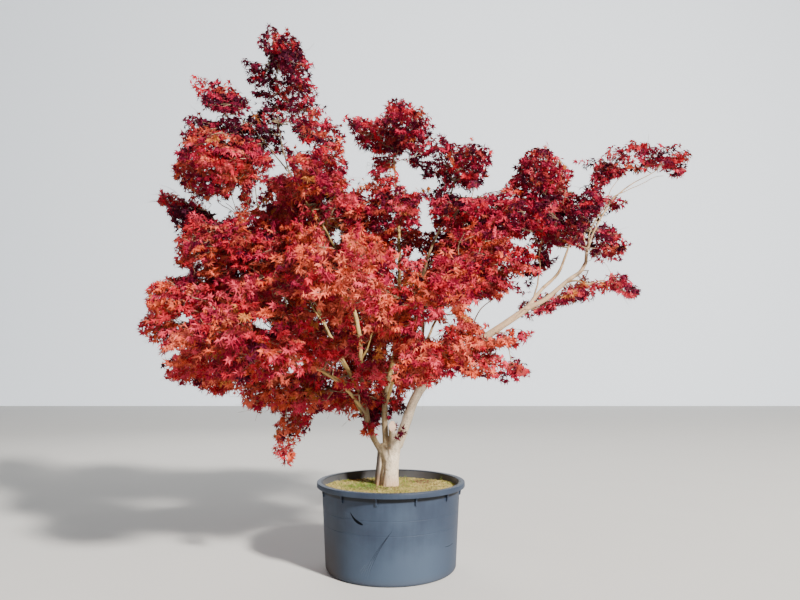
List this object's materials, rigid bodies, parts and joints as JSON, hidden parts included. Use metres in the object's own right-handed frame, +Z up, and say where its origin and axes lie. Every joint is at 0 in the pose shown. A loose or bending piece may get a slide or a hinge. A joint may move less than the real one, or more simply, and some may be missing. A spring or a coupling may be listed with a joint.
{
  "type": "potted japanese maple tree",
  "caption": "Open, multi-stemmed maple in red autumn leaf, standing in a wide round nursery tub of soil; the crown leans left and one long limb reaches right.",
  "frame": {"origin": "centre of the tub's flat underside", "axes": "+Z up the trunk, -Y towards the viewer, +X towards the long right limb"},
  "size_m": [4.733, 2.9879, 4.6878],
  "materials": {
    "tub_plastic": "satin",
    "soil": "rough",
    "bark": "rough",
    "leaves": "satin"
  },
  "bodies": {
    "root": {"bough_back_centre": "bark", "bough_back_left": "bark", "bough_back_right": "bark", "bough_centre": "bark", "bough_front_left": "bark", "bough_front_right": "bark", "bough_inner_right": "bark", "bough_leader_low": "bark", "bough_leader_top": "bark", "bough_left_high": "bark", "bough_left_low": "bark", "bough_left_reach": "bark", "bough_right_lower": "bark", "bough_right_reach": "bark", "bough_right_rise": "bark", "bough_right_upper": "bark", "foliage_back_centre": "leaves", "foliage_back_high": "leaves", "foliage_back_left": "leaves", "foliage_back_right": "leaves", "foliage_centre_upper": "leaves", "foliage_column": "leaves", "foliage_crest": "leaves", "foliage_crest_back": "leaves", "foliage_crest_right": "leaves", "foliage_dome": "leaves", "foliage_drop_right": "leaves", "foliage_front_centre": "leaves", "foliage_front_left": "leaves", "foliage_front_right": "leaves", "foliage_heart": "leaves", "foliage_heart_left": "leaves", "foliage_hem": "leaves", "foliage_left_band": "leaves", "foliage_left_float": "leaves", "foliage_left_low": "leaves", "foliage_left_mid": "leaves", "foliage_left_tip": "leaves", "foliage_left_upper": "leaves", "foliage_left_wide": "leaves", "foliage_low_centre": "leaves", "foliage_low_front": "leaves", "foliage_low_right": "leaves", "foliage_low_right_tip": "leaves", "foliage_right_mid": "leaves", "foliage_right_outer": "leaves", "foliage_right_upper": "leaves", "foliage_shoulder": "leaves", "foliage_skirt_inner": "leaves", "foliage_skirt_right": "leaves", "foliage_spire_arm": "leaves", "foliage_spire_side": "leaves", "foliage_spire_top": "leaves", "foliage_tail": "leaves", "foliage_tip": "leaves", "foliage_tip_inner": "leaves", "soil": "soil", "trunk": "bark", "tub": "tub_plastic"}
  },
  "joints": []
}
